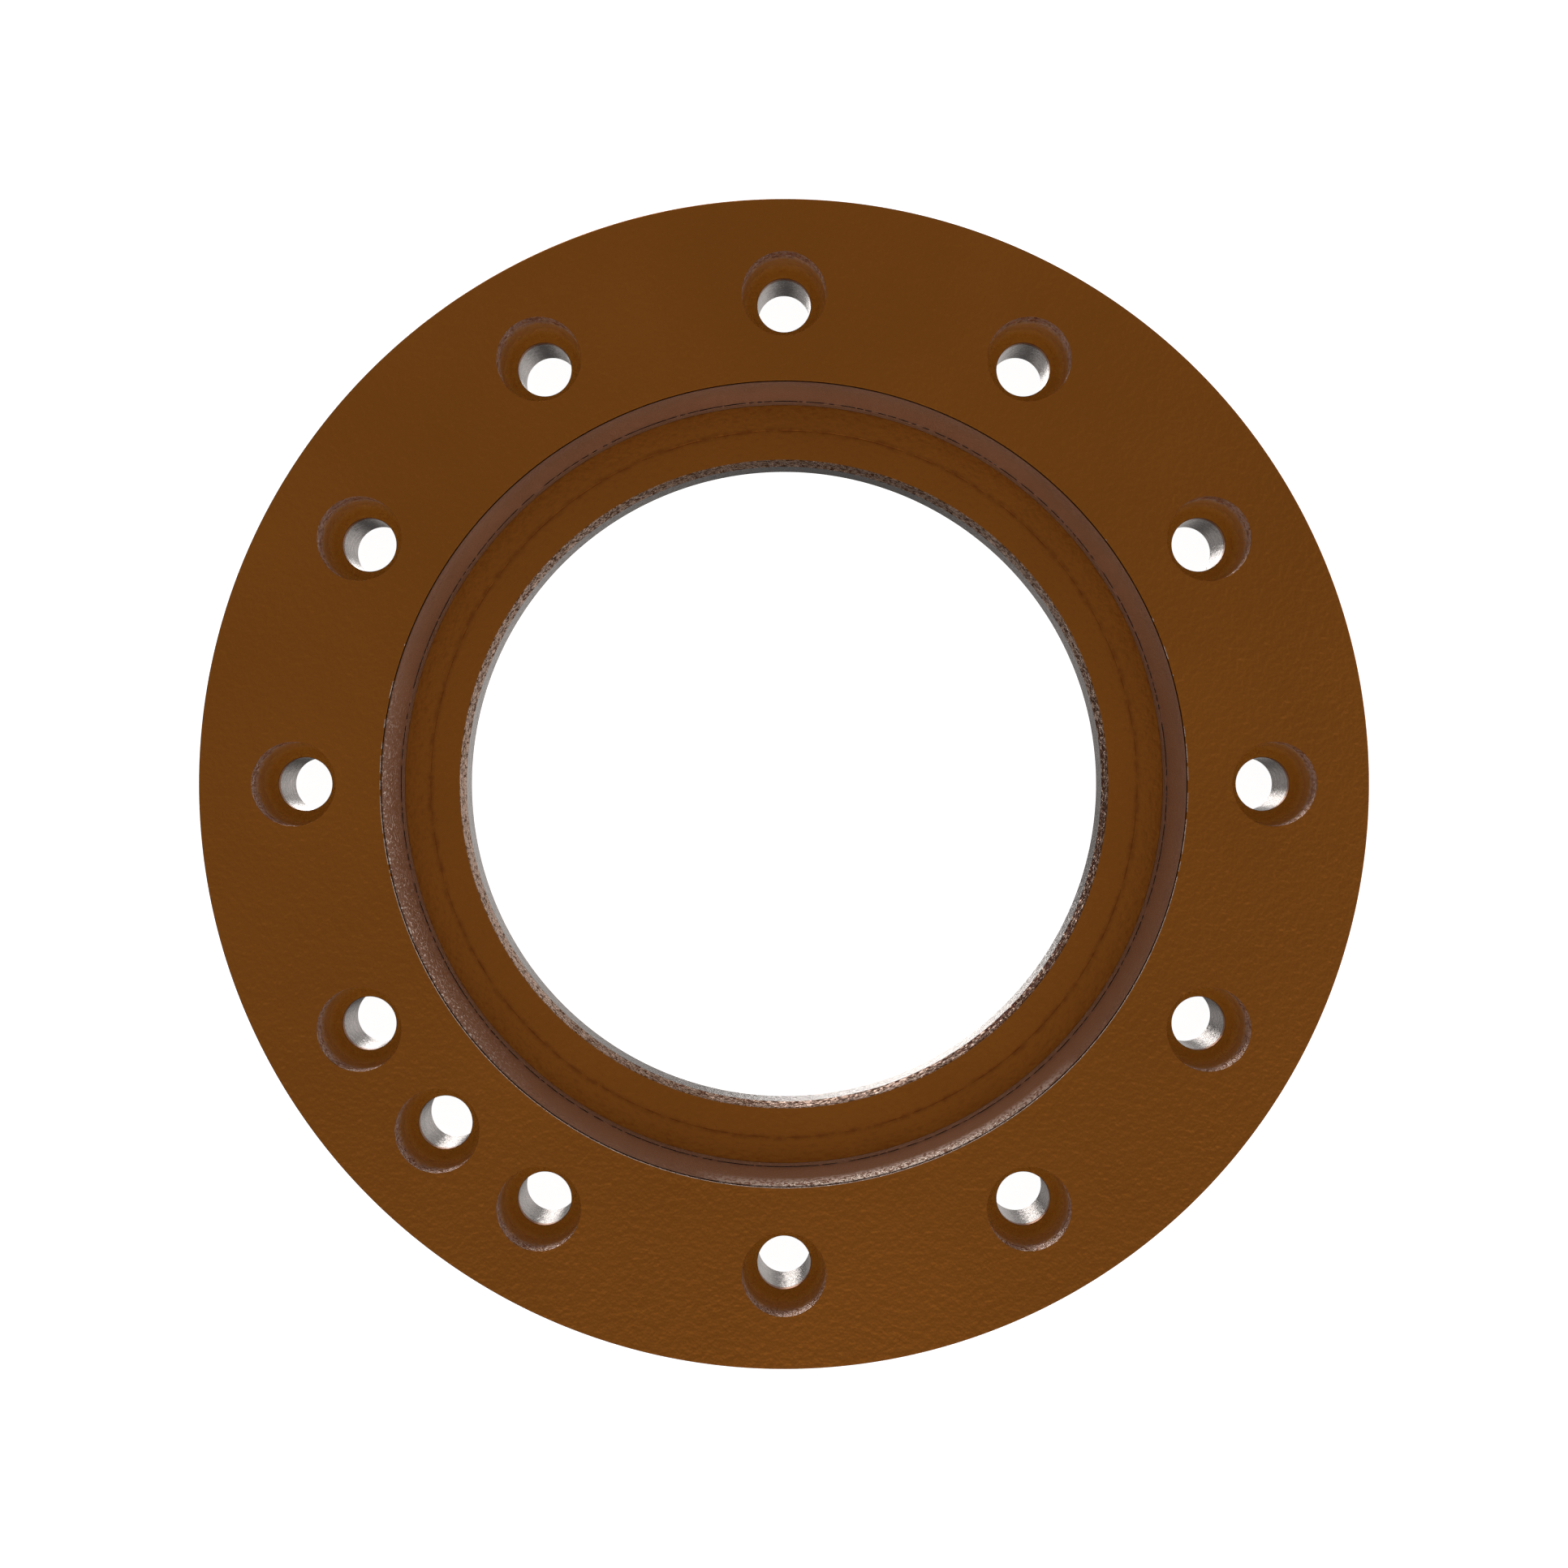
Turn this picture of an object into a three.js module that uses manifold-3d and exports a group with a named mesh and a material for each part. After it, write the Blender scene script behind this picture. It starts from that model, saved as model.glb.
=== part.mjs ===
// Bored ring flange with a tapered seat: a coated body carrying a seat ring, a steel bore sleeve and
// one steel bush in each of its thirteen counterbored bolt holes.
// Millimetres, +Z up. The axis is Z, the back face lies on z = 0 and the recessed front face is on top.
import * as THREE from 'three';
import { mergeVertices } from 'three/addons/utils/BufferGeometryUtils.js';
import Module from 'manifold-3d';

// Driving dimensions.
const OUTER_DIAMETER = 470;
const THICKNESS = 52;
const BORE_DIAMETER = 266;
const RECESS_DIAMETER = 324;
const RECESS_DEPTH = 21;

const PITCH_CIRCLE_DIAMETER = 394;
const BOLT_HOLES = 12;
const INDEX_HOLE_ANGLE = 225;
const BOLT_HOLE_DIAMETER = 22;
const COUNTERBORE_DIAMETER = 34;
const COUNTERBORE_DEPTH = 21;
const COUNTERBORE_FILLET = 3;

const BUSH_WALL = 2.5;
const BUSH_LIP = 3;
const SLEEVE_WALL = 4;
const SLEEVE_LENGTH = 15.5;

const SCORE_DIAMETER = 291;
const SCORE_WIDTH = 0.8;
const SCORE_DEPTH = 0.2;

const SEAT_TAPER = 12;
const SEAT_HOLLOW = 0.4;
const SEAT_FOOT = 1.4;
const SEAT_GROOVE = 0.4;

const EDGE_BREAK = 0.5;
const BACK_CHAMFER = 1.5;
const FIT_GAP = 0.3;

const RING_SEGMENTS = 80;
const HOLE_SEGMENTS = 20;
const FILLET_STEPS = 3;
const HOLLOW_STEPS = 4;

const wasm = await Module();
wasm.setup();

const outerRadius = OUTER_DIAMETER / 2;
const boreRadius = BORE_DIAMETER / 2;
const recessRadius = RECESS_DIAMETER / 2;
const scoreRadius = SCORE_DIAMETER / 2;
const pitchRadius = PITCH_CIRCLE_DIAMETER / 2;
const holeRadius = BOLT_HOLE_DIAMETER / 2;
const counterboreRadius = COUNTERBORE_DIAMETER / 2;
const bushRadius = holeRadius + BUSH_WALL;
const sleeveRadius = boreRadius + SLEEVE_WALL;
const recessFloor = THICKNESS - RECESS_DEPTH;
const counterboreFloor = THICKNESS - COUNTERBORE_DEPTH;
const bushShoulder = counterboreFloor - BUSH_LIP;

const coating = { color: 0x643a14, roughness: 0.45, metalness: 0.9 };
const seatCoating = { color: 0x64412f, roughness: 0.4, metalness: 0.9 };
const steel = { color: 0xa8a29d, roughness: 0.3, metalness: 1 };

// Points along an arc about (centreX, centreY), both ends included; angles in degrees.
function arc(centreX, centreY, radius, from, to, steps) {
  return Array.from({ length: steps + 1 }, (_, i) => {
    const angle = THREE.MathUtils.degToRad(from + ((to - from) * i) / steps);
    return [centreX + radius * Math.cos(angle), centreY + radius * Math.sin(angle)];
  });
}

// Turns a profile of [radius, height] points about the Z axis.
function turn(profile, segments) {
  const points = profile.map(([radius, height]) => new THREE.Vector2(radius, height));
  return new THREE.LatheGeometry(points, segments).rotateX(Math.PI / 2);
}

// A closed ring: its profile runs anticlockwise, up the outside and down the inside.
function ring(profile, segments) {
  return turn([...profile, profile[0]], segments);
}

// The same surface as a solid, with shared vertices merged and the flat triangles on the axis left out.
function solid(geometry) {
  const bare = geometry.clone();
  bare.deleteAttribute('normal');
  bare.deleteAttribute('uv');
  const merged = mergeVertices(bare);
  const corners = merged.index.array;
  const triangles = [];
  for (let i = 0; i < corners.length; i += 3) {
    const [a, b, c] = corners.slice(i, i + 3);
    if (a !== b && b !== c && c !== a) triangles.push(a, b, c);
  }
  return new wasm.Manifold(new wasm.Mesh({
    numProp: 3,
    vertProperties: new Float32Array(merged.attributes.position.array),
    triVerts: new Uint32Array(triangles),
  }));
}

// A solid back as a surface.
function surface(manifold) {
  const { vertProperties, triVerts } = manifold.getMesh();
  const geometry = new THREE.BufferGeometry();
  geometry.setAttribute('position', new THREE.BufferAttribute(vertProperties, 3));
  geometry.setIndex(new THREE.BufferAttribute(triVerts, 1));
  geometry.computeVertexNormals();
  return geometry;
}

function part(name, geometry, finish) {
  const mesh = new THREE.Mesh(geometry, new THREE.MeshStandardMaterial(finish));
  mesh.name = name;
  return mesh;
}

// What one hole removes: the bush pocket from the back, the lip, the counterbore and its edge break.
function holeCutter() {
  const pocketRadius = bushRadius + FIT_GAP;
  const filletRadius = counterboreRadius - COUNTERBORE_FILLET;
  const filletHeight = counterboreFloor + COUNTERBORE_FILLET;
  const clear = 2;
  return turn([
    [0, -clear],
    [pocketRadius, -clear],
    [pocketRadius, bushShoulder],
    [holeRadius, bushShoulder],
    [holeRadius, counterboreFloor],
    ...arc(filletRadius, filletHeight, COUNTERBORE_FILLET, -90, 0, FILLET_STEPS),
    [counterboreRadius, THICKNESS - EDGE_BREAK],
    [counterboreRadius + EDGE_BREAK, THICKNESS],
    [counterboreRadius + EDGE_BREAK, THICKNESS + clear],
    [0, THICKNESS + clear],
  ], HOLE_SEGMENTS);
}

function holeAngles() {
  const angles = Array.from({ length: BOLT_HOLES }, (_, i) => (360 / BOLT_HOLES) * i);
  return [...angles, INDEX_HOLE_ANGLE];
}

// The place on the pitch circle at an angle in degrees.
function onPitchCircle(degrees) {
  const angle = THREE.MathUtils.degToRad(degrees);
  return new THREE.Vector3(pitchRadius * Math.cos(angle), pitchRadius * Math.sin(angle), 0);
}

function flangeBody() {
  const pocketRadius = sleeveRadius + FIT_GAP;
  const blank = ring([
    [outerRadius - BACK_CHAMFER, 0],
    [outerRadius, BACK_CHAMFER],
    [outerRadius, THICKNESS - EDGE_BREAK],
    [outerRadius - EDGE_BREAK, THICKNESS],
    [recessRadius + EDGE_BREAK, THICKNESS],
    [recessRadius, THICKNESS - EDGE_BREAK],
    [recessRadius, recessFloor],
    [scoreRadius + SCORE_WIDTH / 2, recessFloor],
    [scoreRadius, recessFloor - SCORE_DEPTH],
    [scoreRadius - SCORE_WIDTH / 2, recessFloor],
    [boreRadius + EDGE_BREAK, recessFloor],
    [boreRadius, recessFloor - EDGE_BREAK],
    [boreRadius, SLEEVE_LENGTH],
    [pocketRadius, SLEEVE_LENGTH],
    [pocketRadius, 0],
  ], RING_SEGMENTS);
  const cutter = holeCutter();
  let body = solid(blank);
  for (const angle of holeAngles()) {
    const { x, y, z } = onPitchCircle(angle);
    body = body.subtract(solid(cutter.clone().translate(x, y, z)));
  }
  return surface(body);
}

// The seat ring drops into the recess. Its tapered face is slightly hollow, so it is steepest at the top,
// and ends in a groove above a 45 degree foot.
function seatRing() {
  const seatRadius = recessRadius - FIT_GAP;
  const bottom = recessFloor + FIT_GAP;
  const top = THICKNESS - FIT_GAP;
  const taper = THREE.MathUtils.degToRad(SEAT_TAPER);
  const topRadius = seatRadius - EDGE_BREAK;
  const footTop = bottom + FIT_GAP + SEAT_FOOT;
  const faceBottom = footTop + SEAT_GROOVE;
  const faceRadius = topRadius - (top - faceBottom) * Math.tan(taper);
  const footRadius = faceRadius - SEAT_FOOT;
  const chord = Math.hypot(topRadius - faceRadius, top - faceBottom);
  const hollowRadius = (chord * chord) / (8 * SEAT_HOLLOW) + SEAT_HOLLOW / 2;
  const halfTurn = THREE.MathUtils.radToDeg(Math.asin(chord / 2 / hollowRadius));
  const inset = hollowRadius - SEAT_HOLLOW;
  const centreX = (topRadius + faceRadius) / 2 - inset * Math.cos(taper);
  const centreY = (top + faceBottom) / 2 + inset * Math.sin(taper);
  return ring([
    [footRadius, bottom],
    [seatRadius, bottom],
    [seatRadius, top],
    ...arc(centreX, centreY, hollowRadius, halfTurn - SEAT_TAPER, -halfTurn - SEAT_TAPER, HOLLOW_STEPS),
    [faceRadius + SEAT_GROOVE, footTop + SEAT_GROOVE],
    [faceRadius + SEAT_GROOVE, footTop],
    [faceRadius, footTop],
    [footRadius, bottom + FIT_GAP],
  ], RING_SEGMENTS);
}

// A plain tube standing on z = 0 with both edges of its back end broken.
function tube(innerRadius, outer, length, segments) {
  return ring([
    [innerRadius + EDGE_BREAK, 0],
    [outer - EDGE_BREAK, 0],
    [outer, EDGE_BREAK],
    [outer, length],
    [innerRadius, length],
    [innerRadius, EDGE_BREAK],
  ], segments);
}

function boltBushes() {
  const bush = tube(holeRadius, bushRadius, bushShoulder - FIT_GAP, HOLE_SEGMENTS);
  return holeAngles().map((angle, i) => {
    const name = i < BOLT_HOLES ? `bolt_bush_${String(i + 1).padStart(2, '0')}` : 'index_bush';
    const mesh = part(name, bush, steel);
    mesh.position.copy(onPitchCircle(angle));
    return mesh;
  });
}

const group = new THREE.Group();
group.add(part('flange_body', flangeBody(), coating));
group.add(part('seat_ring', seatRing(), seatCoating));
group.add(part('bore_sleeve', tube(boreRadius, sleeveRadius, SLEEVE_LENGTH - FIT_GAP, RING_SEGMENTS), steel));
group.add(...boltBushes());

export default group;
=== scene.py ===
import math

import bmesh
import bpy
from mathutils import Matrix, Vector, noise


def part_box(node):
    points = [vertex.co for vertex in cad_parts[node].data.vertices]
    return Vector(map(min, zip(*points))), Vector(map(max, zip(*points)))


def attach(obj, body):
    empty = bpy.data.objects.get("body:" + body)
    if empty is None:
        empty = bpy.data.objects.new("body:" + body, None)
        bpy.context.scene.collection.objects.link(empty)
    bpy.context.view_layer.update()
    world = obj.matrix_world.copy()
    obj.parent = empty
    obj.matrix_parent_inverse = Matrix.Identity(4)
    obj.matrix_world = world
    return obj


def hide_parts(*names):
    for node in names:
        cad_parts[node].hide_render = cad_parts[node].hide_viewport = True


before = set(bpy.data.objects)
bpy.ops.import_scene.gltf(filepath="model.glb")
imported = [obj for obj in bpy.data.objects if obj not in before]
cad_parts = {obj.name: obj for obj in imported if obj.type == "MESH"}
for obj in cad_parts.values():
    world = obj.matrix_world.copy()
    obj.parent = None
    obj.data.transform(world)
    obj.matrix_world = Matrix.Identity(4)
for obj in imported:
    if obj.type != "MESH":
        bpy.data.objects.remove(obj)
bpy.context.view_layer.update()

# Sizes in metres that the frame doesn't hold.
EDGE = 0.0005
SHARP = 0.00015
TOUCHING = 0.000002
RECESS_RIM = 0.0003
RIM_PATCH = 0.003
SCREW_SEAT_FILLET = 0.003
SCORE_WIDTH = 0.0008
SCORE_DEPTH = 0.00025
SCORE_PATCH = 0.006
CHANNEL_WIDTH = 0.0004
CHANNEL_DEPTH = 0.0009
CHANNEL_DASH = 0.0018
TAPER_ROWS = 24
FLARE_SHARE = 0.33
FLARE_POWER = 7
SKIN_ROW = 0.0011
SKIN_LUMP = 0.0032
SKIN_HEIGHT = 0.0009

RING_STEPS = 1440
HOLE_STEPS = 64
ARC_STEPS = 5

VIEW_HEIGHT = 0.8275
FOCAL_LENGTH = 47.33


# What the frame says.

def about(node, centre):
    """Distance from a vertical axis and height of each of a CAD node's vertices."""
    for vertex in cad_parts[node].data.vertices:
        offset = vertex.co - centre
        yield offset.xy.length, vertex.co.z


def middle(node):
    low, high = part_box(node)
    return (low + high) / 2


AXIS = Vector((0, 0, 0))
BUSHES = sorted(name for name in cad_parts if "_bush" in name)

outer = max(r for r, z in about("flange_body", AXIS))
bore = min(r for r, z in about("flange_body", AXIS))
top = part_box("flange_body")[1].z
floor = max(z for r, z in about("flange_body", AXIS) if r < bore + 2 * EDGE)
recess = max(r for r, z in about("flange_body", AXIS) if abs(z - floor) < SHARP and r < outer * 0.7)
score = max(r for r, z in about("flange_body", AXIS) if r < recess and SHARP < floor - z < EDGE)
sleeve_outer = max(r for r, z in about("bore_sleeve", AXIS))
sleeve_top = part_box("bore_sleeve")[1].z
gap = recess - max(r for r, z in about("seat_ring", AXIS))

first = middle(BUSHES[0])
hole = min(r for r, z in about(BUSHES[0], first))
bush_outer = max(r for r, z in about(BUSHES[0], first))
bush_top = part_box(BUSHES[0])[1].z
counterbore = max(r for r, z in about("flange_body", first) if r < 1.5 * bush_outer and z < top - EDGE / 2)


# Mesh work.

def eased(corners):
    """A closed outline of (radius, height, rounding) corners as points, each rounded corner as an arc."""
    points = []
    for i, (r, z, rounding) in enumerate(corners):
        corner = Vector((r, z))
        if not rounding:
            points.append(corner)
            continue
        back = (Vector(corners[i - 1][:2]) - corner).normalized()
        onward = (Vector(corners[(i + 1) % len(corners)][:2]) - corner).normalized()
        half = back.angle(onward) / 2
        centre = corner + (back + onward).normalized() * rounding / math.sin(half)
        start = corner + back * rounding / math.tan(half) - centre
        end = corner + onward * rounding / math.tan(half) - centre
        points += [centre + rounding * start.slerp(end, step / ARC_STEPS) for step in range(ARC_STEPS + 1)]
    return points


def turned(mesh, outline, steps, centre=AXIS, closed=True):
    """Turns an outline about a vertical axis. An open one runs from bottom to top and gets end caps."""
    turns = [2 * math.pi * step / steps for step in range(steps)]
    rows = [[mesh.verts.new(centre + Vector((r * math.cos(t), r * math.sin(t), z))) for t in turns]
            for r, z in outline]
    for lower, upper in zip(rows, rows[1:] + rows[:1] if closed else rows[1:]):
        for step in range(steps):
            after = (step + 1) % steps
            mesh.faces.new((lower[step], lower[after], upper[after], upper[step]))
    if not closed:
        mesh.faces.new(reversed(rows[0]))
        mesh.faces.new(rows[-1])


def as_object(name, mesh):
    data = bpy.data.meshes.new(name)
    mesh.to_mesh(data)
    mesh.free()
    made = bpy.data.objects.new(name, data)
    bpy.context.scene.collection.objects.link(made)
    return made


def soften(piece, sharp_above=40):
    """Smooth shading that keeps flat faces flat."""
    piece.data.shade_smooth()
    piece.data.set_sharp_from_angle(angle=math.radians(sharp_above))
    normals = piece.modifiers.new("flat_faces", "WEIGHTED_NORMAL")
    normals.keep_sharp = True


def place(piece, node, slot, *materials):
    for material in materials:
        piece.data.materials.append(material)
    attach(piece, "root")
    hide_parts(node)


# Material work.

def add(tree, kind, inputs=None, **settings):
    """A node with its settings, and its inputs linked or given."""
    made = tree.nodes.new(kind)
    for key, value in settings.items():
        setattr(made, key, value)
    for key, value in (inputs or {}).items():
        if isinstance(value, bpy.types.NodeSocket):
            tree.links.new(value, made.inputs[key])
        else:
            made.inputs[key].default_value = value
    return made


def new_material(name, **fixed):
    """A material with its fixed shader inputs, its node tree, its shader and the object's coordinates."""
    material = bpy.data.materials.new(name)
    material.use_nodes = True
    tree = material.node_tree
    shader = tree.nodes["Principled BSDF"]
    for key, value in fixed.items():
        shader.inputs[key].default_value = value
    return material, tree, shader, add(tree, "ShaderNodeTexCoord").outputs["Object"]


def math_node(tree, operation, first, second):
    return add(tree, "ShaderNodeMath", {0: first, 1: second}, operation=operation).outputs[0]


def product(tree, first, *others):
    for other in others:
        first = math_node(tree, "MULTIPLY", first, other)
    return first


def grain(tree, vector, scale, detail=2.0, roughness=0.5, distortion=0.0):
    texture = add(tree, "ShaderNodeTexNoise", {"Vector": vector, "Scale": scale, "Detail": detail,
                                               "Roughness": roughness, "Distortion": distortion})
    return texture.outputs["Fac"]


def stretched(tree, vector, factors):
    return add(tree, "ShaderNodeVectorMath", {0: vector, 1: factors}, operation="MULTIPLY").outputs[0]


def spread(tree, value, low, high, to_low, to_high):
    """Maps low..high to to_low..to_high, clamped."""
    return add(tree, "ShaderNodeMapRange", {"Value": value, "From Min": low, "From Max": high,
                                            "To Min": to_low, "To Max": to_high}).outputs["Result"]


def two_tone(tree, factor, first, second):
    """A colour between two, each a colour or another mix."""
    mix = add(tree, "ShaderNodeMix", data_type="RGBA")
    tree.links.new(factor, mix.inputs[0])
    for socket, colour in ((mix.inputs[6], first), (mix.inputs[7], second)):
        if isinstance(colour, bpy.types.NodeSocket):
            tree.links.new(colour, socket)
        else:
            socket.default_value = (*colour, 1)
    return mix.outputs[2]


def height(tree, shader, value, distance, strength=1.0):
    bump = add(tree, "ShaderNodeBump", {"Height": value, "Distance": distance, "Strength": strength})
    tree.links.new(bump.outputs["Normal"], shader.inputs["Normal"])


def facing(tree, where, azimuth, narrow, wide):
    """1 within a narrow angle of a direction about the axis, falling to 0 at a wide one."""
    a, full, none = (math.radians(angle) for angle in (azimuth, narrow, wide))
    flat = add(tree, "ShaderNodeVectorMath", {0: stretched(tree, where, (1, 1, 0))}, operation="NORMALIZE")
    along = add(tree, "ShaderNodeVectorMath", {0: flat.outputs[0], 1: (math.cos(a), math.sin(a), 0)},
                operation="DOT_PRODUCT")
    return spread(tree, along.outputs["Value"], math.cos(none), math.cos(full), 0, 1)


# Materials.

def floor_darkening(tree, where, spot):
    """How much darker the recess floor is along the scored circle and in the turning marks near it."""
    flat = stretched(tree, where, (1, 1, 0))
    radius = add(tree, "ShaderNodeVectorMath", {0: flat}, operation="LENGTH").outputs["Value"]
    wander = spread(tree, grain(tree, where, 150, 2), 0.3, 0.7, score - 0.0005, score + 0.0005)
    past = math_node(tree, "SUBTRACT", radius, wander)
    off_score = math_node(tree, "ABSOLUTE", past, 0.0)
    # The floor is darker within a couple of millimetres of the scored circle.
    along_score = product(tree, spread(tree, off_score, 0.0003, 0.0018, 1, 0),
                          spread(tree, grain(tree, where, 260, 3), 0.35, 0.65, 0.1, 0.6))
    turn = math_node(tree, "ARCTAN2", spot["Y"], spot["X"])
    around = add(tree, "ShaderNodeCombineXYZ", {"X": radius, "Y": product(tree, turn, 0.06)})
    strokes = product(tree, spread(tree, grain(tree, around.outputs[0], 700, 3, 0.6), 0.5, 0.7, 0, 1),
                      spread(tree, radius, score - 0.006, score + 0.006, 0.12, 0.3),
                      spread(tree, radius, recess, recess + gap, 1, 0))
    on_floor = spread(tree, spot["Z"], floor - 2 * EDGE, floor - EDGE, 0, 1)
    return product(tree, math_node(tree, "MAXIMUM", along_score, strokes), on_floor)


def coating():
    """The body's satin brown metallic coat with the faint peel of a sprayed coat."""
    material, tree, shader, where = new_material("body_coating", Metallic=0.92)
    cloud = spread(tree, grain(tree, where, 14, 4), 0.3, 0.7, 0, 1)
    coat = two_tone(tree, cloud, (0.353, 0.117, 0.0155), (0.391, 0.129, 0.0172))
    spot = add(tree, "ShaderNodeSeparateXYZ", {"Vector": where}).outputs
    darkening = floor_darkening(tree, where, spot)
    # The recess floor is darker along the scored circle and in its turning marks.
    tree.links.new(two_tone(tree, darkening, coat, (0.19, 0.045, 0.008)), shader.inputs["Base Color"])
    gloss = spread(tree, grain(tree, where, 60, 3), 0.3, 0.7, 0.36, 0.44)
    tree.links.new(gloss, shader.inputs["Roughness"])
    peel = grain(tree, where, 470, 1.4, 0.5)
    fine = grain(tree, where, 1500, 3)
    from_back = spread(tree, spot["Y"], -0.9 * outer, 0.9 * outer, 0.48, 0.44)
    from_left = spread(tree, spot["X"], 0.5 * outer, 0.9 * outer, 1, 1.5)
    from_floor = spread(tree, spot["Z"], floor + EDGE, top - EDGE, 0.5, 1)
    relief = math_node(tree, "ADD", peel, product(tree, fine, 0.05))
    height(tree, shader, relief, 0.001, product(tree, from_back, from_left, from_floor))
    return material


def pocket_coating():
    """The same coat in the counterbores. Painted light: the floor and fillet are painted lighter than the
    face against the pocket's shade. Near the rim the coat is rubbed to pinkish bare metal, which is wear
    and a painted highlight, with painted glints.
    """
    material, tree, shader, where = new_material("pocket_coating", **{"Specular IOR Level": 0.15})
    up = add(tree, "ShaderNodeSeparateXYZ", {"Vector": where}).outputs["Z"]
    wander = spread(tree, grain(tree, where, 300, 2), 0.3, 0.7, -0.002, 0.002)
    ragged = math_node(tree, "ADD", up, wander)
    # Near the rim the coat turns to pinkish bare metal: wear and a painted highlight.
    wear_and_highlight = spread(tree, ragged, top - 0.0135, top - 0.007, 0, 1)
    # Painted light: the floor and, brightest, the fillet are painted lighter than the face coat against the
    # shade in the pocket.
    above_fillet = spread(tree, up, floor, floor + SCREW_SEAT_FILLET, 0, 1)
    painted_pocket_light = two_tone(tree, above_fillet, (0.565, 0.232, 0.028), (0.8, 0.43, 0.14))
    sparkle = grain(tree, stretched(tree, where, (1, 1, 0.35)), 1000, 3, 0.75)
    # Painted glints: bright flecks scattered in the bare metal.
    painted_glint = spread(tree, sparkle, 0.43, 0.51, 0, 1)
    bare = two_tone(tree, painted_glint, (0.62, 0.4, 0.29), (0.87, 0.69, 0.6))
    tree.links.new(two_tone(tree, wear_and_highlight, painted_pocket_light, bare), shader.inputs["Base Color"])
    glint = two_tone(tree, painted_glint, (0.55, 0.35, 0.25), (1, 0.95, 0.92))
    tree.links.new(glint, shader.inputs["Specular Tint"])
    tree.links.new(spread(tree, wear_and_highlight, 0, 1, 0.35, 1), shader.inputs["Metallic"])
    tree.links.new(spread(tree, wear_and_highlight, 0, 1, 0.55, 0.25), shader.inputs["Roughness"])
    peel = grain(tree, where, 450, 2, 0.5, 0.8)
    height(tree, shader, math_node(tree, "ADD", peel, product(tree, sparkle, 0.9)), 0.0006)
    return material


def cast_skin():
    """The upper half of the bore: thinly coated and left rough from casting, with painted light in its worn
    spots: more of them around 198 degrees as a painted highlight, fewer around 337 degrees and dimmer
    around 88 and 246 degrees as painted shade.
    """
    material, tree, shader, where = new_material("cast_skin", Metallic=0.9, Roughness=0.1)
    lumps = grain(tree, where, 560, 3, 0.6)
    # Painted highlight: more worn bright spots around 198 degrees.
    wear_and_highlight = spread(tree, facing(tree, where, 198, 6, 34), 0, 1, 0, 0.05)
    # Painted shade: fewer worn spots around 337 degrees.
    painted_shade_plus_x = spread(tree, facing(tree, where, 337, 18, 46), 0, 1, 0, -0.1)
    lumps_and_painted_light = math_node(tree, "ADD", lumps, math_node(tree, "ADD", wear_and_highlight, painted_shade_plus_x))
    # Painted shade: the worn spots are dimmer around 88 and 246 degrees.
    painted_shade_two_sides = math_node(tree, "MAXIMUM", facing(tree, where, 88, 14, 42), facing(tree, where, 246, 8, 24))
    wear_and_painted_light = product(tree, spread(tree, lumps_and_painted_light, 0.4, 0.54, 0, 1), spread(tree, painted_shade_two_sides, 0, 1, 1, 0.55))
    skin = two_tone(tree, wear_and_painted_light, (0.2, 0.095, 0.048), (0.7, 0.49, 0.38))
    glint = two_tone(tree, wear_and_painted_light, (0.2, 0.12, 0.075), (1, 0.9, 0.84))
    tree.links.new(skin, shader.inputs["Base Color"])
    tree.links.new(glint, shader.inputs["Specular Tint"])
    height(tree, shader, lumps, 0.0032)
    return material


def seat_coating():
    """The seat ring's smoother purple-brown coat with turned streaks. Painted light: lighter near the floor
    towards 95 degrees, darker towards the rim and in a strip just above the floor, and painted pinkish
    highlights at the rim around 287 degrees and on the side around 197 degrees.
    """
    material, tree, shader, where = new_material("seat_coating")
    up = add(tree, "ShaderNodeSeparateXYZ", {"Vector": where}).outputs["Z"]
    cloud = spread(tree, grain(tree, where, 20, 4), 0.3, 0.7, -0.003, 0.003)
    from_floor = spread(tree, math_node(tree, "ADD", up, cloud), floor, top, 0, 1)
    # Painted light: near the floor the coat is painted lighter towards 95 degrees; from_floor paints it
    # darker towards the rim.
    low = two_tone(tree, facing(tree, where, 95, 30, 100), (0.3, 0.13, 0.068), (0.37, 0.17, 0.093))
    coat_with_painted_light = two_tone(tree, from_floor, low, (0.215, 0.094, 0.05))
    # Painted shade: a darker strip just above the floor.
    foot = spread(tree, up, floor + 0.0017, floor + 0.002, 1, 0)
    coat_with_painted_light = two_tone(tree, foot, coat_with_painted_light, (0.2, 0.087, 0.042))
    streaks = grain(tree, stretched(tree, where, (1, 1, 1.4)), 750, 3, 0.7)
    # Painted highlights: pinkish-white streaks at the rim around 287 degrees and on the side around 197
    # degrees, which are also made more metallic and glossier.
    rim = spread(tree, up, top - 0.006, top - 0.0014, 0, 1)
    rim_highlight = product(tree, rim, facing(tree, where, 287, 4, 30), spread(tree, streaks, 0.45, 0.5, 0, 1))
    side = spread(tree, up, top - 0.019, top - 0.013, 0, 1)
    side_highlight = product(tree, facing(tree, where, 197, 6, 34), side,
                       spread(tree, streaks, 0.55, 0.6, 0, 0.8))
    painted_highlights = math_node(tree, "MAXIMUM", rim_highlight, side_highlight)
    tree.links.new(two_tone(tree, painted_highlights, coat_with_painted_light, (1, 0.8, 0.68)), shader.inputs["Base Color"])
    tree.links.new(spread(tree, painted_highlights, 0, 1, 0.4, 0.9), shader.inputs["Metallic"])
    tree.links.new(spread(tree, painted_highlights, 0, 1, 0.36, 0.2), shader.inputs["Roughness"])
    height(tree, shader, streaks, 0.0005)
    return material


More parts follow.
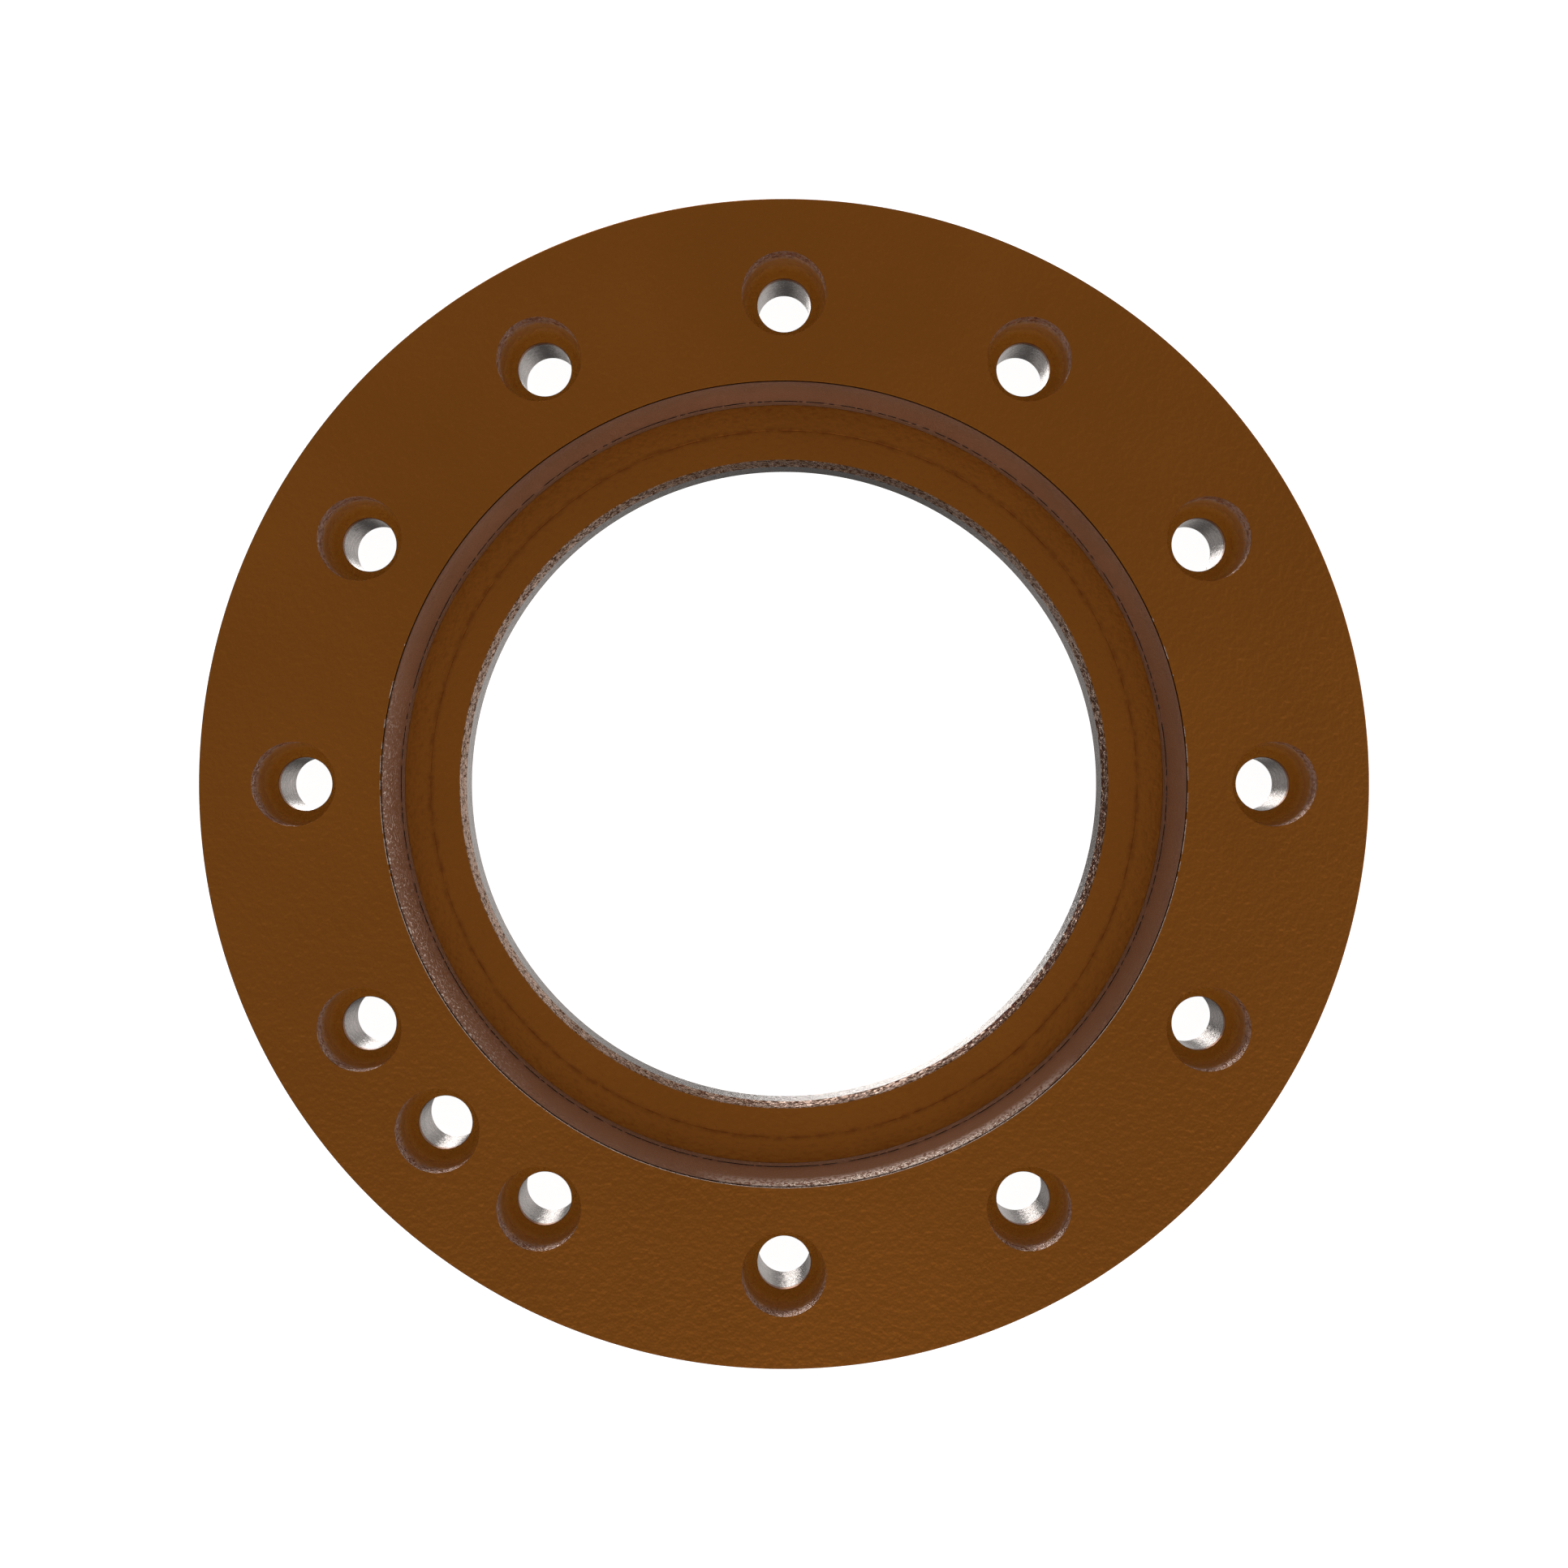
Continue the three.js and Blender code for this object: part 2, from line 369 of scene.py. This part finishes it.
def channel_shade():
    """A dark fill painted into the seat ring's channel: painted shade."""
    material, tree, shader, where = new_material("channel_painted_shade", Roughness=0.9)
    painted_shade_tone = two_tone(tree, grain(tree, where, 900, 2), (0.04, 0.025, 0.018), (0.12, 0.065, 0.04))
    tree.links.new(painted_shade_tone, shader.inputs["Base Color"])
    return material


def steel():
    """Bare bored steel: faint chatter from the tool over a slightly cloudy surface."""
    material, tree, shader, where = new_material("bare_steel", Metallic=1.0)
    rings = grain(tree, stretched(tree, where, (1, 1, 1.6)), 330, 4, 0.62)
    cloud = spread(tree, grain(tree, where, 120, 3), 0.3, 0.7, 0, 1)
    bare_metal = two_tone(tree, cloud, (0.54, 0.478, 0.443), (0.625, 0.553, 0.515))
    tree.links.new(bare_metal, shader.inputs["Base Color"])
    tree.links.new(spread(tree, rings, 0.3, 0.7, 0.22, 0.3), shader.inputs["Roughness"])
    height(tree, shader, rings, 0.0006)
    return material


# Pieces.

def hole_cutter(mesh, centre):
    """What one bolt hole removes from the body: bush pocket, lip, counterbore with its fillet and rim.

    The rim's arc ends exactly in the body's top face, and the cutter goes straight up from there.
    """
    clear = 0.004
    corners = [
        (bush_outer + gap, -clear, 0),
        (bush_outer + gap, bush_top + gap, 0),
        (hole, bush_top + gap, 0),
        (hole, floor, EDGE),
        (counterbore, floor, SCREW_SEAT_FILLET),
        (counterbore, top, SHARP),
        (counterbore + 2 * SHARP, top, 0),
        (counterbore + 2 * SHARP, top + clear, 0),
    ]
    outline = [point for point in eased(corners) if abs(point.y - top) > TOUCHING]
    outline.insert(-1, Vector((counterbore + SHARP, top)))
    outline[-1].x = counterbore + SHARP
    turned(mesh, outline, HOLE_STEPS, Vector((centre.x, centre.y, 0)), closed=False)


def body_blank():
    """The body before its bolt holes are cut, with the cast skin in the upper half of its bore."""
    pocket = sleeve_outer + gap
    shoulder = sleeve_top + gap
    corners = [
        (outer, 0, 3 * EDGE),
        (outer, top, EDGE),
        (recess, top, RECESS_RIM),
        (recess, floor, 0),
        (score + SCORE_WIDTH / 2, floor, 0),
        (score, floor - SCORE_DEPTH, 0),
        (score - SCORE_WIDTH / 2, floor, 0),
        (bore, floor, EDGE),
    ]
    rows = int((floor - EDGE - shoulder) / SKIN_ROW)
    corners += [(bore, floor - EDGE - SKIN_ROW * row, 0) for row in range(1, rows)]
    corners += [(bore, shoulder, 0), (pocket, shoulder, 0), (pocket, 0, 0)]
    mesh = bmesh.new()
    turned(mesh, eased(corners), RING_STEPS)
    for vertex in mesh.verts:
        depth = min(floor - EDGE - vertex.co.z, vertex.co.z - shoulder)
        if depth > 0 and vertex.co.xy.length < bore + SHARP:
            lump = 0.5 + 0.5 * noise.fractal(vertex.co / SKIN_LUMP, 0.8, 2.0, 3)
            vertex.co.xy *= 1 + SKIN_HEIGHT * max(0, lump) * min(1, depth / SKIN_ROW) / bore
        elif abs(vertex.co.z - floor + SCORE_DEPTH) < TOUCHING:
            filled = min(1, max(0, 0.4 + noise.noise(vertex.co / SCORE_PATCH)))
            vertex.co.z += SCORE_DEPTH * 0.7 * filled
    return as_object("flange_body_finish", mesh)


def flange_body(*materials):
    """The body in its three finishes.

    0 all over, 1 in the counterbores and along the recess rim, 2 in the upper half of the bore.
    """
    body = body_blank()
    tool = bmesh.new()
    centres = [middle(name) for name in BUSHES]
    for centre in centres:
        hole_cutter(tool, centre)
    cutter = as_object("hole_cutters", tool)
    cut = body.modifiers.new("holes", "BOOLEAN")
    cut.operation = "DIFFERENCE"
    cut.solver = "EXACT"
    cut.object = cutter
    bpy.context.view_layer.update()
    evaluated = body.evaluated_get(bpy.context.evaluated_depsgraph_get())
    finished = bpy.data.meshes.new_from_object(evaluated)
    body.modifiers.clear()
    body.data = finished
    bpy.data.objects.remove(cutter)
    for face in body.data.polygons:
        to_hole = min((face.center - centre).xy.length for centre in centres)
        radius, up = face.center.xy.length, face.center.z
        in_pocket = to_hole < counterbore + EDGE and floor - SHARP < up < top - 1.1 * SHARP
        on_rim = recess - SHARP < radius < recess + RECESS_RIM and up > top - RECESS_RIM
        # Patches of the recess rim, more of them towards -Y, take the pocket coat's pinkish top: wear and a
        # painted highlight on that side.
        wear_and_highlight = noise.noise(face.center / RIM_PATCH) > 1.2 * face.center.y / recess - 0.1
        in_bore = radius < bore + 2 * EDGE and sleeve_top < up < floor
        face.material_index = 1 if in_pocket or on_rim and wear_and_highlight else 2 if in_bore else 0
    soften(body)
    place(body, "flange_body", "body_coating", *materials)


def seat_ring(*materials):
    """The seat ring: a taper that flares at its rim and ends in a broken channel behind its foot."""
    low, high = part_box("seat_ring")
    foot, face = sorted({round(r, 6) for r, z in about("seat_ring", AXIS)})[:2]
    shelf = low.z + gap + face - foot
    rim = high.x - EDGE
    taper = []
    for row in range(TAPER_ROWS + 1):
        up = 1 - (row / TAPER_ROWS) ** 1.5
        out = (1 - FLARE_SHARE) * up + FLARE_SHARE * up ** FLARE_POWER
        taper.append((face + (rim - face) * out, shelf + (high.z - shelf) * up, 0))
    corners = [
        (foot, low.z, 0),
        (high.x, low.z, 0),
        (high.x, high.z, SHARP),
        *taper,
        (face, shelf - CHANNEL_DEPTH, 0),
        (face - CHANNEL_WIDTH, shelf - CHANNEL_DEPTH, 0),
        (face - CHANNEL_WIDTH, shelf, 0),
        (foot, low.z + gap, SHARP),
    ]
    mesh = bmesh.new()
    turned(mesh, eased(corners), RING_STEPS)
    for vertex in mesh.verts:
        if abs(vertex.co.z - shelf + CHANNEL_DEPTH) < SHARP:
            closed = min(1, max(0, 0.45 - 8 * noise.noise(vertex.co / CHANNEL_DASH)))
            vertex.co.z += closed * (CHANNEL_DEPTH - SHARP / 3)
    mesh.normal_update()
    for spot in mesh.faces:
        centre = spot.calc_center_median()
        # Faces inside the channel take material 1, the dark painted shade.
        in_channel = face - CHANNEL_WIDTH - SHARP < centre.xy.length < face + SHARP / 2
        spot.material_index = 1 if in_channel and low.z + SHARP < centre.z < shelf - SHARP else 0
    ring = as_object("seat_ring_finish", mesh)
    soften(ring)
    place(ring, "seat_ring", "seat_coating", *materials)


def tube(node, inner, outside, steps, material):
    """A steel lining with eased edges, in the place of its CAD node."""
    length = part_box(node)[1].z
    centre = middle(node)
    corners = [
        (inner, 0, EDGE),
        (outside, 0, EDGE),
        (outside, length, EDGE / 2),
        (inner, length, 0),
    ]
    mesh = bmesh.new()
    turned(mesh, eased(corners), steps, Vector((centre.x, centre.y, 0)))
    lining = as_object(node + "_finish", mesh)
    soften(lining)
    place(lining, node, "bare_steel", material)


# Stage, light and camera.

def stage():
    """A pale floor that turns up into a backdrop far off. The object's metal doesn't mirror it."""
    flat, turn_up, steps = 6.0, 4.0, 96
    outline = [(0.02, 0), (1.0, 0), (flat, 0)]
    outline += [(flat + turn_up * math.sin(a), turn_up * (1 - math.cos(a)))
                for a in (math.radians(10 * i) for i in range(1, 10))]
    mesh = bmesh.new()
    turns = [2 * math.pi * step / steps for step in range(steps)]
    rows = [[mesh.verts.new((r * math.cos(t), r * math.sin(t), z)) for t in turns] for r, z in outline]
    for lower, upper in zip(rows, rows[1:]):
        for step in range(steps):
            after = (step + 1) % steps
            mesh.faces.new((lower[step], upper[step], upper[after], lower[after]))
    mesh.faces.new(rows[0])
    paper = as_object("floor", mesh)
    paper.data.shade_smooth()
    white = {"Base Color": (0.85, 0.85, 0.85, 1), "Roughness": 0.9, "Specular IOR Level": 0.0,
             "Emission Color": (1, 1, 1, 1), "Emission Strength": 0.93}
    paper.data.materials.append(new_material("pale_paper", **white)[0])
    paper.visible_glossy = False
    paper.visible_shadow = False
    paper.location.z = -0.0001


def panel(tree, direction, azimuth, elevation, inner, outside, strength):
    """A soft round panel of light at infinity: full inside one angle, none outside the other."""
    a, e = math.radians(azimuth), math.radians(elevation)
    axis = (math.cos(e) * math.cos(a), math.cos(e) * math.sin(a), math.sin(e))
    near = add(tree, "ShaderNodeVectorMath", {0: direction, 1: axis}, operation="DOT_PRODUCT")
    return add(tree, "ShaderNodeMapRange", {
        "Value": near.outputs["Value"],
        "From Min": math.cos(math.radians(outside)),
        "From Max": math.cos(math.radians(inner)),
        "To Min": 0.0,
        "To Max": strength,
    }, interpolation_type="SMOOTHSTEP").outputs["Result"]


def surroundings():
    """A dim studio: a broad overhead panel, brighter to the front, and bounce panels under and beside."""
    world = bpy.data.worlds.new("studio")
    bpy.context.scene.world = world
    world.use_nodes = True
    tree = world.node_tree
    tree.nodes.clear()
    direction = add(tree, "ShaderNodeTexCoord").outputs["Generated"]
    total = 0.08
    # azimuth, elevation, inner angle, outer angle, strength
    for shape in (
        (0, 90, 30, 100, 0.234),
        (270, 35, 0, 42, 0.44),
        (0, 30, 0, 48, 0.14),
        (180, 30, 0, 48, 0.12),
        (117, -69, 6, 14, 3.6),
        (8, -38, 5, 57, 0.78),
        (199, -55, 4, 27, 0.42),
        (107, -2, 3, 20, 5.0),
        (15, 9, 5, 30, 0.5),
    ):
        total = math_node(tree, "ADD", panel(tree, direction, *shape), total)
    background = add(tree, "ShaderNodeBackground", {"Color": (1, 1, 1, 1), "Strength": total})
    output = add(tree, "ShaderNodeOutputWorld")
    tree.links.new(background.outputs["Background"], output.inputs["Surface"])


def camera():
    data = bpy.data.cameras.new("camera")
    data.lens = FOCAL_LENGTH
    data.clip_end = 50
    eye = bpy.data.objects.new("camera", data)
    eye.location = (0, 0, top + VIEW_HEIGHT)
    bpy.context.scene.collection.objects.link(eye)
    bpy.context.scene.camera = eye


flange_body(coating(), pocket_coating(), cast_skin())
seat_ring(seat_coating(), channel_shade())
bare = steel()
tube("bore_sleeve", bore, sleeve_outer, RING_STEPS, bare)
for bush in BUSHES:
    tube(bush, hole, bush_outer, HOLE_STEPS, bare)

stage()
surroundings()
camera()
bpy.context.scene.view_settings.view_transform = "Standard"
